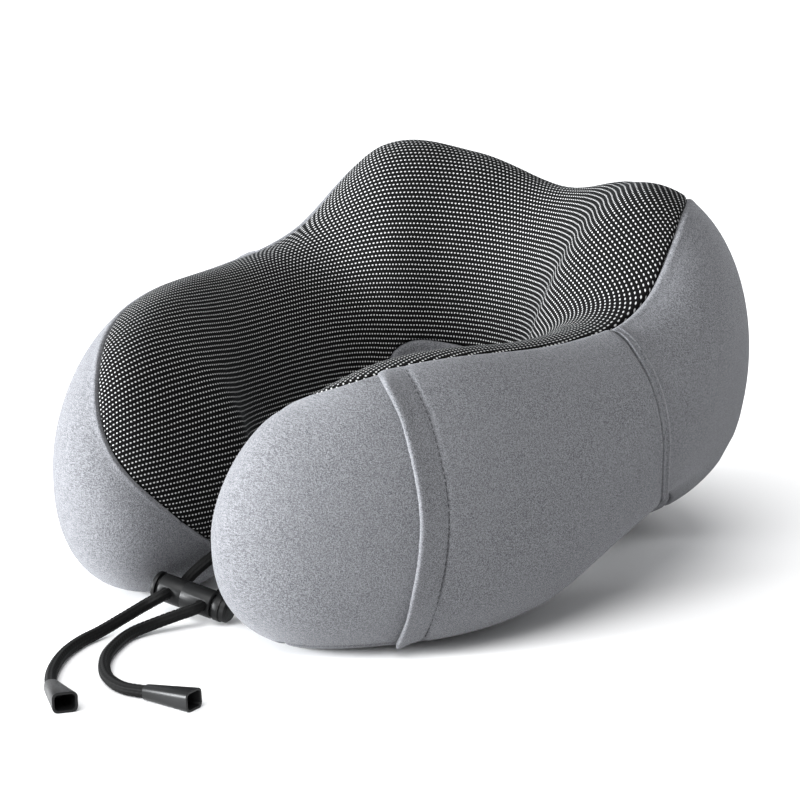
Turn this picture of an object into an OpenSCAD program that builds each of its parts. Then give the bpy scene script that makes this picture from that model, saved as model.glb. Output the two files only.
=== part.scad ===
// U-shaped travel neck pillow: a one-piece foam core in a zipped fabric cover, with two high
// side lobes, a pocket on one arm and a plug-together cord lock between the arm tips.
// +Z is up and the opening between the arms faces -Y. The origin is on the floor, under the
// middle of the pillow.

/* [Pillow] */
// Half the width between the centre lines of the two arms
ring_half_width = 90; // [86:1:94]
// How far the centre line reaches behind the ring's centre
ring_rear = 91; // [88:1:95]
// How far the centre line reaches in front of the ring's centre
ring_front = 118; // [114:1:122]
// Angle from the middle of the back to the end of each arm
ring_sweep = 171; // [169:1:172]
// Height at the middle of the back
back_height = 155; // [149:1:159]
// Height of the two side lobes
lobe_height = 166; // [160:1:170]
// Height of the two arms
arm_height = 121; // [117:1:125]
// Height of the round end of each arm
tip_height = 98; // [96:1:104]
// Lift of the arched underside below the lobes
arch_lift = 37; // [32:1:39]

/* [Cover] */
// Thickness of the cover fabric with its pile
cover_t = 2.4; // [2:0.1:2.6]
// Thickness of the inner liner
liner_t = 0.8; // [0.5:0.1:1]
// Thickness of the pocket layer on the right arm
pocket_t = 1.2; // [0.8:0.1:1.5]

/* [Zip] */
// Radius of the zip's path around the back
zip_radius = 117; // [116:0.5:118]
// Height of the zip above the floor
zip_height = 32; // [31:0.5:33]
// Angle that the zip covers on each side of the middle
zip_half_angle = 28; // [24:1:29]
// Width of the slider
slider_w = 7; // [6.4:0.2:8]

/* [Cord lock] */
// Outer diameter of the barrel
barrel_d = 12; // [11.6:0.2:13]
// Length of the left half's body
left_body_l = 11.2; // [11:0.1:12]
// Length of the right half's body
right_body_l = 14.2; // [14:0.1:15]
// Travel of the left button
left_travel = 1; // [0.6:0.1:1]
// Travel of the right button
right_travel = 1.5; // [1:0.1:1.5]
// Diameter of the cord
cord_d = 5; // [4.5:0.1:5]
// Length of the tapered piece on each cord's free end
end_l = 23; // [20:1:25]

/* [Hidden] */
$fn = 64;

velour = "#8b8f96";
knit = "#2c2d30";
charcoal = "#3b3d40";
black = "#17181a";

// Curves along half of the ring, as [fraction of the way from the back to the tip, value]
height_curve = [
    [0, back_height], [0.16, lobe_height - 1], [0.3, lobe_height], [0.42, arm_height + 9],
    [0.54, arm_height], [0.7, arm_height + 1.5], [0.83, arm_height], [0.92, tip_height + 14], [1, tip_height]
];
// The right arm lies a little lower towards its tip
right_sag_curve = [[0, 0], [0.7, 0], [0.8, 2.5], [0.88, 6.5], [0.94, 4], [1, 0]];
lift_curve = [[0, 0], [0.2, 12], [0.28, 24], [0.4, arch_lift], [0.5, 26], [0.6, 7], [0.8, 0], [1, 0]];
outer_width_curve = [[0, 49], [0.25, 58], [0.5, 45], [0.75, 44], [1, 48]];
inner_width_curve = [[0, 38], [0.25, 44], [0.5, 42], [0.75, 40.5], [1, 42]];
// How much lower the inner shoulder of a section lies than the outer one
inner_drop_curve = [[0, 0], [0.6, 0], [0.75, 2], [0.86, 9], [0.93, 12], [1, 12]];
drop_from = 55;          // section angle where that drop begins
widest_height_curve = [[0, 36], [0.35, 84], [0.7, 55], [1, 53]];
lean_curve = [[0, 12], [0.35, 26], [0.7, 2.5], [1, 2.5]];

// Edges of the knitted top, as section angles: 0 faces outward, 90 up, 180 into the neck opening
knit_outer_right = [
    [0, 59], [0.25, 70], [0.42, 80], [0.5, 80], [0.65, 79], [0.75, 77], [0.84, 75], [0.93, 92], [1, 108]
];
knit_outer_left = [[0, 59], [0.25, 70], [0.42, 75], [0.5, 74], [0.65, 72], [0.8, 66], [0.9, 56], [1, 34]];
knit_inner_curve = [[0, 157], [0.12, 160], [0.29, 176], [0.45, 205], [0.6, 212], [0.8, 206], [1, 224]];
base_seam_angle = -60;

ring_centre_y = 5;       // puts the middle of the pillow's depth on the origin
plan_power = 2.12;       // squareness of the ring in plan
upper_power = 1.92;      // squareness of a section above its widest height
lower_power = 2.5;       // squareness of a section below it
foam_press = 1.5;        // how far the foam is pressed flat on the floor
tip_length = 0.145;      // fraction of the half ring that the round tip takes
tip_power = 2.7;         // squareness of the round tip
tip_centre = 0.4;        // height of the tip's nose as a fraction of the section
half_ring_l = 300;       // length of the half ring's centre line

// The surface is a grid: columns run along the ring, and rows run around the section
half_columns = 20;
columns = 2 * half_columns;
side_rows = 7;
top_rows = 9;
base_rows = 6;
rows = side_rows + top_rows + base_rows;
zip_seam = 0.155;
rear_seam = 0.475;
pocket_mouth = 0.768;
tip_seam = 0.9;
column_curve = [[0, 0], [3, zip_seam], [8, rear_seam], [13, pocket_mouth], [15, tip_seam], [20, 1]];

// Zip
zip_centre_y = 26;
tape_t = 0.8;
tape_w = 9;
tape_gap = 0.8;          // slit between the tapes, where the slider's web runs
tape_depth = 0.9;        // how far the tapes lie below the cover's face
coil_w = 1.5;
coil_t = 1.5;
slider_l = 9;
slider_plate = 0.9;
zip_pocket = 2;          // room behind the tapes for the slider's lower plate

// Cord lock, measured along the barrel from the face where its halves meet
lock_position = [-8.6, -117, 10];
lock_yaw = 18;
lock_tilt = 10;
hole_d = cord_d + 0.4;
left_hole = -6.6;
right_hole = 10.4;
fit_gap = 0.08;
stem_d = 9.44;
spigot_d = 8;
spigot_l = 2.8;
left_bore_end = -1.4;
right_bore_end = 4.2;
left_stem_end = -3.6;
right_stem_end = 7.2;
wire_d = 0.5;

// Routes of the cords. Each passes straight through its hole in the barrel.
cord_sides = 10;
left_lead_route = [
    [-17.8, -79.8, 21.8], [-15, -81, 22.5], [-12.5, -86, 24], [-12.5, -92.5, 23.5],
    [-14, -99.5, 20], [-16.6, -106, 15]
];
left_tail_route = [
    [-15, -134, 8], [-15, -147, 5], [-13.5, -160, 3], [-10.5, -173, 2.6],
    [-4, -187, 2.6], [5, -199.5, 2.6], [14.5, -209.5, 2.6]
];
left_end_start = [24, -217, 3.1];
left_end_heading = -26;
right_lead_route = [
    [17.8, -79.8, 21.8], [15, -81, 22.5], [11.5, -84.5, 23], [8.5, -90, 20.5],
    [4.5, -96.5, 16], [0.5, -102.5, 11]
];
right_tail_route = [
    [1, -130, 6.5], [-3, -141, 4], [-3, -153, 2.8], [2.5, -165, 2.6],
    [11, -177.5, 2.6], [22, -188, 2.6], [34, -195, 2.6], [45, -197, 2.6]
];
right_end_start = [55.5, -194.5, 3.1];
right_end_heading = 12;

// ---------------------------------------------------------------- shape of the pillow

function slope_at(curve, i) =
    (i == 0 || i == len(curve) - 1) ? 0
    : (curve[i + 1][1] - curve[i - 1][1]) / (curve[i + 1][0] - curve[i - 1][0]);

function span_of(curve, x, i = 0) =
    (i >= len(curve) - 2 || x <= curve[i + 1][0]) ? i : span_of(curve, x, i + 1);

// Smooth value at x of a curve given by points, level at both of its ends
function value_at(curve, x) =
    let (
        i = span_of(curve, x),
        w = curve[i + 1][0] - curve[i][0],
        f = (x - curve[i][0]) / w
    )
    curve[i][1] * (1 + 2 * f) * (1 - f) * (1 - f)
    + curve[i + 1][1] * f * f * (3 - 2 * f)
    + slope_at(curve, i) * w * f * (1 - f) * (1 - f)
    - slope_at(curve, i + 1) * w * f * f * (1 - f);

function signed_power(x, p) = sign(x) * pow(abs(x), p);

function mix(a, b, f) = a + (b - a) * f;

// Point of the ring's centre line at an angle from the middle of the back
function ring_point(angle) = [
    ring_half_width * signed_power(sin(angle), 2 / plan_power),
    ring_centre_y + (cos(angle) >= 0 ? ring_rear : ring_front) * signed_power(cos(angle), 2 / plan_power)
];

function ring_outward(angle) =
    let (
        d = ring_point(angle + 0.01) - ring_point(angle - 0.01)
    )
    [-d.y, d.x] / norm(d);

// Column's place along the ring: -1 is the left tip, 0 the middle of the back, 1 the right tip
function column_place(i) =
    let (
        k = abs(i - half_columns),
        n = span_of(column_curve, k),
        a = column_curve[n],
        b = column_curve[n + 1],
        f = (k - a[0]) / (b[0] - a[0]),
        eased = b[1] == 1 ? 1 - (1 - f) * (1 - f) : f
    )
    sign(i - half_columns) * mix(a[1], b[1], eased);

function row_angle(s, j) =
    let (
        outer_edge = value_at(s > 0 ? knit_outer_right : knit_outer_left, abs(s)),
        inner_edge = value_at(knit_inner_curve, abs(s))
    )
    j <= side_rows ? mix(base_seam_angle, outer_edge, j / side_rows)
    : j <= side_rows + top_rows ? mix(outer_edge, inner_edge, (j - side_rows) / top_rows)
    : mix(inner_edge, 360 + base_seam_angle, (j - side_rows - top_rows) / base_rows);

// Point on the skin, or on a surface that lies a given depth below it
function skin_point(s, angle, depth) =
    let (
        place = abs(s),
        around = s * ring_sweep * (1 - depth / half_ring_l),
        height = value_at(height_curve, place) - (s > 0 ? value_at(right_sag_curve, place) : 0),
        top = height - depth,
        bottom = value_at(lift_curve, place) - foam_press + depth,
        widest = value_at(widest_height_curve, place),
        width = (cos(angle) >= 0 ? value_at(outer_width_curve, place) : value_at(inner_width_curve, place)) - depth,
        power = 2 / (sin(angle) >= 0 ? upper_power : lower_power),
        q = max(0, place - 1 + tip_length) / tip_length,
        shrink = sqrt(max(0, 1 - pow(q, tip_power))),
        reach = sin(angle) >= 0 ? top - widest : widest - bottom,
        nose = mix(bottom, top, tip_centre),
        fallen = min(1, max(0, (angle - drop_from) / (180 - drop_from))),
        drop = value_at(inner_drop_curve, place) * sin(180 * fallen) * sin(180 * fallen),
        z = mix(nose, widest + reach * signed_power(sin(angle), power), shrink) - drop * shrink,
        lean = value_at(lean_curve, place) * (z / height - 0.5),
        n = width * signed_power(cos(angle), power) * shrink + lean,
        p = ring_point(around) + ring_outward(around) * n
    )
    [p.x, p.y, max(z, depth)];

// The zip's panel is a plain band of a cylinder, so that the slider's path is a true arc
function is_zip_corner(i, j) = abs(column_place(i)) < zip_seam + 0.001 && j >= 1 && j <= 3;

function zip_corner(i, j, depth) =
    let (
        angle = column_place(i) / zip_seam * (zip_half_angle + 3),
        r = zip_radius - depth
    )
    [r * sin(angle), zip_centre_y + r * cos(angle), zip_height + (j - 2) * (tape_w + 1)];

function grid_point(i, j, depth, recess) =
    is_zip_corner(i, j) ? zip_corner(i, j, depth + recess)
    : skin_point(column_place(i), row_angle(column_place(i), j), depth);

function grid_index(layer, i, j) =
    layer * (columns + 1) * rows + i * rows + ((i == 0 || i == columns) ? 0 : j % rows);

function two_triangles(a, b, c, d) = [
    for (t = [[a, c, b], [a, d, c]])
        if (t[0] != t[1] && t[1] != t[2] && t[2] != t[0]) t
];

// Closed solid between two depths below the skin, over the cells that belong to a panel
module skin_layer(outer, inner, belongs, recess = 0) {
    points = [
        for (depth = [outer, inner])
            for (i = [0 : columns])
                for (j = [0 : rows - 1])
                    grid_point(i, j, depth, recess)
    ];
    inside = function (i, j)
        i >= 0 && i < columns && belongs((column_place(i) + column_place(i + 1)) / 2, (j + rows) % rows);
    faces = [
        for (i = [0 : columns - 1])
            for (j = [0 : rows - 1])
                if (inside(i, j))
                    let (
                        o = [for (c = [[i, j], [i + 1, j], [i + 1, j + 1], [i, j + 1]]) grid_index(0, c[0], c[1])],
                        u = [for (c = [[i, j], [i + 1, j], [i + 1, j + 1], [i, j + 1]]) grid_index(1, c[0], c[1])]
                    )
                    each concat(
                        two_triangles(o[0], o[3], o[2], o[1]),
                        two_triangles(u[0], u[1], u[2], u[3]),
                        inside(i, j - 1) ? [] : two_triangles(o[0], o[1], u[1], u[0]),
                        inside(i + 1, j) ? [] : two_triangles(o[1], o[2], u[2], u[1]),
                        inside(i, j + 1) ? [] : two_triangles(o[3], u[3], u[2], o[2]),
                        inside(i - 1, j) ? [] : two_triangles(o[0], u[0], u[3], o[3])
                    )
    ];
    polyhedron(points, faces);
}

// Whole closed body at a depth below the skin
module skin_body(depth, recess) {
    points = [
        for (i = [0 : columns])
            for (j = [0 : rows - 1])
                grid_point(i, j, depth, recess)
    ];
    faces = [
        for (i = [0 : columns - 1])
            for (j = [0 : rows - 1])
                let (o = [for (c = [[i, j], [i + 1, j], [i + 1, j + 1], [i, j + 1]]) grid_index(0, c[0], c[1])])
                each two_triangles(o[0], o[3], o[2], o[1])
    ];
    polyhedron(points, faces);
}

function is_side_row(j) = j < side_rows;
function is_top_row(j) = j >= side_rows && j < side_rows + top_rows;
function is_base_row(j) = j >= side_rows + top_rows;
function is_zip_cell(s, j) = abs(s) < zip_seam && (j == 1 || j == 2);

module foam_core() {
    color("#d9cfb8") skin_body(cover_t + liner_t, zip_pocket);
}

// The liner is sewn shut along one cell row under the back, where its seam is left out
module inner_liner() {
    color("white")
        skin_layer(
            cover_t, cover_t + liner_t,
            function (s, j) !(abs(s) < zip_seam && j == rows - 1),
            zip_pocket
        );
}

module knit_top_panel() {
    color(knit) skin_layer(0, cover_t, function (s, j) is_top_row(j));
}

module side_panel(side) {
    color(velour)
        skin_layer(0, cover_t, function (s, j)
            (is_side_row(j) && s * side > rear_seam) || (is_base_row(j) && s * side > tip_seam));
}

module side_panel_left() {
    side_panel(-1);
}

module side_panel_right() {
    side_panel(1);
}

module rear_panel() {
    color(velour)
        skin_layer(0, cover_t, function (s, j)
            is_side_row(j) && abs(s) < rear_seam && !is_zip_cell(s, j));
}

module base_panel() {
    color(velour) skin_layer(0, cover_t, function (s, j) is_base_row(j) && abs(s) < tip_seam);
}

module pocket_panel() {
    color(velour)
        skin_layer(-pocket_t, 0, function (s, j) is_side_row(j) && s > rear_seam && s < pocket_mouth);
}

// ---------------------------------------------------------------- zip

// Arc of a rectangular section around the zip's path: radii, heights and angles from the back
module zip_arc(r0, r1, z0, z1, a0, a1) {
    translate([0, zip_centre_y, 0])
        rotate([0, 0, 90 - a1])
            rotate_extrude(angle = a1 - a0, $fn = 180)
                translate([r0, z0])
                    square([r1 - r0, z1 - z0]);
}

module zip_tape(side) {
    z0 = side > 0 ? zip_height + tape_gap / 2 : zip_height - tape_gap / 2 - tape_w;
    r1 = zip_radius - tape_depth;
    color("#6c7078") zip_arc(r1 - tape_t, r1, z0, z0 + tape_w, -zip_half_angle - 2, zip_half_angle + 2);
}

module zip_tape_upper() {
    zip_tape(1);
}

module zip_tape_lower() {
    zip_tape(-1);
}

module zip_coil(side) {
    z0 = side > 0 ? zip_height + tape_gap / 2 : zip_height - tape_gap / 2 - coil_w;
    r0 = zip_radius - tape_depth;
    color("#55585e") zip_arc(r0, r0 + coil_t, z0, z0 + coil_w, -zip_half_angle, zip_half_angle);
}

module zip_coil_upper() {
    zip_coil(1);
}

module zip_coil_lower() {
    zip_coil(-1);
}

module zip_stops() {
    r0 = zip_radius - tape_depth;
    w = 2 * coil_w + tape_gap;
    color("silver")
        for (side = [-1, 1])
            zip_arc(
                r0, r0 + coil_t, zip_height - w / 2, zip_height + w / 2,
                side > 0 ? zip_half_angle : -zip_half_angle - 1, side > 0 ? zip_half_angle + 1 : -zip_half_angle
            );
}

// The slider waits at the left end of the zip, where the zip is closed
slider_half = slider_l / 2 / zip_radius * 180 / PI;
slider_angle = -zip_half_angle + slider_half + 0.2;
slider_top = zip_radius - tape_depth + coil_t + 0.2 + slider_plate;

module zip_slider() {
    a0 = slider_angle - slider_half;
    a1 = slider_angle + slider_half;
    z0 = zip_height - slider_w / 2;
    z1 = zip_height + slider_w / 2;
    tape_back = zip_radius - tape_depth - tape_t;
    lug_r = slider_top + 1.1;
    color("silver") {
        zip_arc(slider_top - slider_plate, slider_top, z0, z1, a0, a1);
        for (z = [z0, z1 - slider_plate])
            zip_arc(zip_radius - tape_depth + 0.2, slider_top, z, z + slider_plate, a0, a1);
        zip_arc(tape_back - 0.2 - slider_plate, tape_back - 0.2, z0, z1, a0, a1);
        zip_arc(tape_back - 0.5, slider_top - 0.1, zip_height - 0.25, zip_height + 0.25, a0, a0 + 1);
        translate([0, zip_centre_y, zip_height])
            rotate([0, 0, -slider_angle])
                for (side = [-1, 1])
                    translate([0, slider_top - 0.2, side * 2 - 0.5])
                        difference() {
                            union() {
                                translate([-1.3, 0, 0]) cube([2.6, 1.5, 1]);
                                translate([0, 1.3, 0]) cylinder(d = 2.6, h = 1);
                            }
                            translate([0, 1.3, -1]) cylinder(d = 1.1, h = 3);
                        }
    }
}

module zip_pull() {
    color("silver")
        translate([0, zip_centre_y, zip_height])
            rotate([0, 0, -slider_angle])
                translate([0, slider_top + 1.1, 0]) {
                    translate([0, 0, -2.6]) cylinder(d = 1, h = 5.2);
                    translate([0, -0.5, -1.2]) cube([4, 1, 2.4]);
                    difference() {
                        translate([3.5, -0.5, -2.5]) cube([15, 1, 5]);
                        translate([14.5, 1, 0]) rotate([90, 0, 0]) cylinder(d = 2.6, h = 2);
                    }
                }
}

// ---------------------------------------------------------------- cord lock

module at_lock() {
    translate(lock_position)
        rotate([0, lock_tilt, lock_yaw])
            children();
}

// Point given in the lock's own directions: x along the barrel, y towards the back, z up
function lock_point(x, y, z) =
    let (
        a = x * cos(lock_tilt) + z * sin(lock_tilt)
    )
    lock_position + [
        a * cos(lock_yaw) - y * sin(lock_yaw),
        a * sin(lock_yaw) + y * cos(lock_yaw),
        z * cos(lock_tilt) - x * sin(lock_tilt)
    ];

// Cylinder along the barrel from x0 to x1
module along_barrel(x0, x1, d) {
    translate([x0, 0, 0]) rotate([0, 90, 0]) cylinder(d = d, h = x1 - x0);
}

// Cylinder with one narrowed edge, at its x0 end or its x1 end
module edged_barrel(x0, x1, d, edge, at_start) {
    body0 = at_start ? x0 + edge : x0;
    body1 = at_start ? x1 : x1 - edge;
    along_barrel(body0, body1, d);
    translate([at_start ? x0 : x1 - edge, 0, 0])
        rotate([0, 90, 0])
            cylinder(d1 = at_start ? d - 2 * edge : d, d2 = at_start ? d : d - 2 * edge, h = edge);
}

module across_barrel(x, d) {
    translate([x, 20, 0]) rotate([90, 0, 0]) cylinder(d = d, h = 40);
}

// Slot through a stem, as long as the button's travel, so that the stem clears the cord
module stem_slot(x, travel) {
    across_barrel(x, hole_d - 0.2);
    across_barrel(x + travel, hole_d - 0.2);
    translate([min(x, x + travel), -20, -hole_d / 2 + 0.1]) cube([abs(travel), 40, hole_d - 0.2]);
}

module lock_body_left() {
    color(charcoal)
        at_lock()
            difference() {
                union() {
                    edged_barrel(-left_body_l, 0, barrel_d, 0.5, true);
                    along_barrel(-0.1, spigot_l, spigot_d);
                }
                along_barrel(-left_body_l - 1, left_bore_end, stem_d + 2 * fit_gap);
                across_barrel(left_hole, hole_d);
            }
}

module lock_body_right() {
    color(charcoal)
        at_lock()
            difference() {
                edged_barrel(0, right_body_l, barrel_d, 0.5, false);
                along_barrel(-1, spigot_l + 0.4, spigot_d + 2 * fit_gap);
                along_barrel(right_bore_end, right_body_l + 1, stem_d + 2 * fit_gap);
                across_barrel(right_hole, hole_d);
            }
}

module lock_button_left() {
    shoulder = -left_body_l - left_travel - 0.1;
    color(black)
        at_lock()
            difference() {
                union() {
                    along_barrel(shoulder - 0.1, left_stem_end, stem_d);
                    edged_barrel(shoulder - 1.8, shoulder, barrel_d + 0.4, 0.4, true);
                }
                stem_slot(left_hole, -left_travel);
            }
}

module lock_button_right() {
    shoulder = right_body_l + right_travel + 0.1;
    color(black)
        at_lock()
            difference() {
                union() {
                    along_barrel(right_stem_end, shoulder + 0.1, stem_d);
                    along_barrel(shoulder, shoulder + 2.8, barrel_d);
                    edged_barrel(shoulder + 2.7, shoulder + 6.2, barrel_d - 0.9, 1, false);
                }
                stem_slot(right_hole, right_travel);
            }
}

// Coil spring between two places on the barrel
module lock_spring(x0, x1) {
    turns = 3;
    steps = 12;
    r = 3.2;
    first = x0 + wire_d / 2;
    last = x1 - wire_d / 2;
    color("silver")
        tube(
            [for (k = [0 : turns * steps])
                let (a = k * 360 / steps)
                lock_point(mix(first, last, k / (turns * steps)), r * cos(a), r * sin(a))],
            wire_d, 6
        );
}

module lock_spring_left() {
    lock_spring(left_stem_end + 0.02, left_bore_end - 0.02);
}

module lock_spring_right() {
    lock_spring(right_bore_end + 0.02, right_stem_end - 0.02);
}

// ---------------------------------------------------------------- cords

function unit(v) = v / norm(v);

function direction_at(route, i) =
    unit(route[min(i + 1, len(route) - 1)] - route[max(i - 1, 0)]);

// Round tube swept along a route of points
module tube(route, d, sides) {
    n = len(route);
    points = [
        for (i = [0 : n - 1])
            let (
                forward = direction_at(route, i),
                helper = abs(forward.z) > 0.9 ? [1, 0, 0] : [0, 0, 1],
                across = unit(cross(forward, helper)),
                upward = cross(across, forward)
            )
            for (k = [0 : sides - 1])
                route[i] + (across * cos(k * 360 / sides) + upward * sin(k * 360 / sides)) * d / 2
    ];
    walls = [
        for (i = [0 : n - 2])
            for (k = [0 : sides - 1])
                let (
                    a = i * sides + k,
                    b = i * sides + (k + 1) % sides
                )
                each [[a, b, b + sides], [a, b + sides, a + sides]]
    ];
    first_cap = [for (k = [sides - 1 : -1 : 0]) k];
    last_cap = [for (k = [0 : sides - 1]) (n - 1) * sides + k];
    polyhedron(points, concat(walls, [first_cap], [last_cap]));
}

// Where a cord stops inside its end piece
function in_end(start, heading) = start + [cos(heading), sin(heading), 0] * 6;

module cord_left() {
    color(black)
        tube(concat(
            left_lead_route,
            [lock_point(left_hole, 8.5, 0), lock_point(left_hole, 0, 0), lock_point(left_hole, -8.5, 0)],
            left_tail_route,
            [left_end_start, in_end(left_end_start, left_end_heading)]
        ), cord_d, cord_sides);
}

module cord_right_lead() {
    color(black)
        tube(concat(
            right_lead_route,
            [lock_point(right_hole, 8.5, 0), lock_point(right_hole, 0, 0)]
        ), cord_d, cord_sides);
}

module cord_right_tail() {
    color(black)
        tube(concat(
            [lock_point(right_hole, 0, 0), lock_point(right_hole, -8.5, 0)],
            right_tail_route,
            [right_end_start, in_end(right_end_start, right_end_heading)]
        ), cord_d, cord_sides);
}

// Flat slab with round edges across the end piece
module end_section(x, w, h, r) {
    for (y = [-1, 1])
        for (z = [-1, 1])
            translate([x, y * (w / 2 - r), z * (h / 2 - r)])
                rotate([0, 90, 0])
                    cylinder(r = r, h = 0.2, $fn = 24);
}

// Tapered hollow sleeve on a cord's free end, open at its wide mouth
module cord_end(start, heading) {
    rise = 1.2;
    color(charcoal)
        translate(start)
            rotate([0, -atan(rise / end_l), heading])
                difference() {
                    hull() {
                        end_section(0, 6.2, 6, 2.4);
                        end_section(end_l - 0.2, 10.4, 8.4, 2.4);
                    }
                    hull() {
                        end_section(8, 5, 4.8, 1.6);
                        end_section(end_l, 8.4, 6.4, 1.6);
                    }
                    translate([-1, 0, 0]) rotate([0, 90, 0]) cylinder(d = cord_d + 0.1, h = 8);
                }
}

module cord_end_left() {
    cord_end(left_end_start, left_end_heading);
}

module cord_end_right() {
    cord_end(right_end_start, right_end_heading);
}

foam_core();
inner_liner();
knit_top_panel();
side_panel_left();
side_panel_right();
rear_panel();
base_panel();
pocket_panel();
zip_tape_upper();
zip_tape_lower();
zip_coil_upper();
zip_coil_lower();
zip_stops();
zip_slider();
zip_pull();
lock_body_left();
lock_body_right();
lock_button_left();
lock_button_right();
lock_spring_left();
lock_spring_right();
cord_left();
cord_right_lead();
cord_right_tail();
cord_end_left();
cord_end_right();
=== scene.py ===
"""Looks of the U-shaped neck pillow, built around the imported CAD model. Lengths are in
millimetres until a mesh is made, and the frame is the CAD model's own."""

import math

import bmesh
import bpy
import numpy as np
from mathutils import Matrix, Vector


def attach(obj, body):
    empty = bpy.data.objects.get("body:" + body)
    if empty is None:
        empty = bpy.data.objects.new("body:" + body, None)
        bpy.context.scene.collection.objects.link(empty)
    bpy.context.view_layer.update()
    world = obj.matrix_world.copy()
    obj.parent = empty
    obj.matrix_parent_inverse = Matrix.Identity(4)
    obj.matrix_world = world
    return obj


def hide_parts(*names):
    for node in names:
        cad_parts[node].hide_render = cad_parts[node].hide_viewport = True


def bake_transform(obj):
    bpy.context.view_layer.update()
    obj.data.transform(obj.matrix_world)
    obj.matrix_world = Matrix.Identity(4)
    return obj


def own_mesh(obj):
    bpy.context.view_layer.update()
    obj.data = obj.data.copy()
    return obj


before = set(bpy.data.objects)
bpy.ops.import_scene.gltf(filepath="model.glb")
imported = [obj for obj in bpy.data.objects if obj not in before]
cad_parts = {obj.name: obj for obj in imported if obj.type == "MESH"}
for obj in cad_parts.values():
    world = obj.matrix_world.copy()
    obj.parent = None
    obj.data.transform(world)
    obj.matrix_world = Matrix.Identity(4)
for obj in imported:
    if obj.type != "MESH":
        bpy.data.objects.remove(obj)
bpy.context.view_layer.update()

MM = 0.001

# ------------------------------------------------------------------ shape of the pillow
# The same curves as the CAD model: [fraction of the way from the back to the tip, value].
HEIGHT = [
    [0, 155], [0.16, 165], [0.3, 166], [0.42, 130], [0.54, 121], [0.7, 122.5],
    [0.83, 121], [0.92, 112], [1, 98],
]
RIGHT_SAG = [[0, 0], [0.7, 0], [0.8, 2.5], [0.88, 6.5], [0.94, 4], [1, 0]]
LIFT = [[0, 0], [0.2, 12], [0.28, 24], [0.4, 37], [0.5, 26], [0.6, 7], [0.8, 0], [1, 0]]
OUTER_WIDTH = [[0, 49], [0.25, 58], [0.5, 45], [0.75, 44], [1, 48]]
INNER_WIDTH = [[0, 38], [0.25, 44], [0.5, 42], [0.75, 40.5], [1, 42]]
INNER_DROP = [[0, 0], [0.6, 0], [0.75, 2], [0.86, 9], [0.93, 12], [1, 12]]
WIDEST_HEIGHT = [[0, 36], [0.35, 84], [0.7, 55], [1, 53]]
LEAN = [[0, 12], [0.35, 26], [0.7, 2.5], [1, 2.5]]
# Where the knit's edges and the base seam lie round a section, as angles from straight outward
KNIT_OUTER_RIGHT = [
    [0, 59], [0.25, 70], [0.42, 80], [0.5, 80], [0.65, 79], [0.75, 77],
    [0.84, 75], [0.93, 92], [1, 108],
]
KNIT_OUTER_LEFT = [[0, 59], [0.25, 70], [0.42, 75], [0.5, 74], [0.65, 72], [0.8, 66], [0.9, 56], [1, 34]]
KNIT_INNER = [[0, 157], [0.12, 160], [0.29, 176], [0.45, 205], [0.6, 212], [0.8, 206], [1, 224]]
BASE_SEAM_ANGLE = -60

RING_HALF_WIDTH = 90
RING_REAR = 91
RING_FRONT = 118
RING_CENTRE_Y = 5
RING_SWEEP = 171
PLAN_POWER = 2.12
PLAN_EASE = 0.004        # evens out the plan's slope where the ring is widest
PLAN_BLEND = 0.4         # how far the front half of the plan passes into the rear half there
UPPER_POWER = 1.92
LOWER_POWER = 2.5
FOAM_PRESS = 1.5         # how far the floor presses the base flat
TIP_LENGTH = 0.145       # last share of the half ring, over which the tip rounds off
TIP_POWER = 2.7
TIP_CENTRE = 0.4         # height of the tip's nose, between its bottom and its top
DROP_FROM = 55           # section angle where the inner shoulder's drop begins
HALF_RING_L = 300        # length of half the ring, which sets how places close up below the skin

REAR_SEAM_PLACE = 0.479
TIP_SEAM = 0.9           # where the base panel ends and the tip's velour wraps underneath
ZIP_RADIUS = 117
ZIP_CENTRE_Y = 26
ZIP_HEIGHT = 32
ZIP_SEAM = 0.155
ZIP_SPAN = 31            # degrees from the middle of the back to ZIP_SEAM
SIDE_ROWS = 7
ZIP_AT = 2               # side rows from the base seam up to the zip
ZIP_ROW = 10             # height of a side row beside the zip

REST_HEIGHT = 0.15       # height of the cover's face where it lies on the floor
REST_SQUEEZE = 0.9       # how much of a depth inside the cover is left there

# Displacement of the stuffed cover on a grid of places along the ring by rows round a section.
# Row 0 is the base seam, rows 1 and 2 are the knit's edges, and row 3 is the base seam again.
SWELL_COLUMNS = 97
SWELL_ROWS = 73
swell_field = np.zeros((SWELL_COLUMNS, SWELL_ROWS, 3))


def mix(a, b, f):
    return a + (b - a) * f


def smooth_step(x):
    x = np.clip(x, 0, 1)
    return x * x * (3 - 2 * x)


def curve_value(points, x):
    """Smooth value at x of a curve given by points, level at both of its ends."""
    xs, ys = np.array(points, float).T
    slopes = np.zeros(len(xs))
    slopes[1:-1] = (ys[2:] - ys[:-2]) / (xs[2:] - xs[:-2])
    i = np.clip(np.searchsorted(xs, x) - 1, 0, len(xs) - 2)
    w = xs[i + 1] - xs[i]
    f = (x - xs[i]) / w
    return (
        ys[i] * (1 + 2 * f) * (1 - f) ** 2
        + ys[i + 1] * f * f * (3 - 2 * f)
        + slopes[i] * w * f * (1 - f) ** 2
        - slopes[i + 1] * w * f * f * (1 - f)
    )


def signed_power(x, p):
    return np.sign(x) * np.abs(x) ** p


def eased_power(x):
    """The plan's power of x with its sign, with no jump in its slope where x passes 0."""
    return x * (x ** 2 + PLAN_EASE) ** (1 / PLAN_POWER - 0.5)


def ring_point(angle):
    """Point of the ring's middle line in plan, at an angle from the middle of the back."""
    half_length = mix(RING_FRONT, RING_REAR, smooth_step(np.cos(angle) / PLAN_BLEND + 0.5))
    return np.stack([
        RING_HALF_WIDTH * eased_power(np.sin(angle)),
        RING_CENTRE_Y + half_length * eased_power(np.cos(angle)),
    ], axis=-1)


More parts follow.
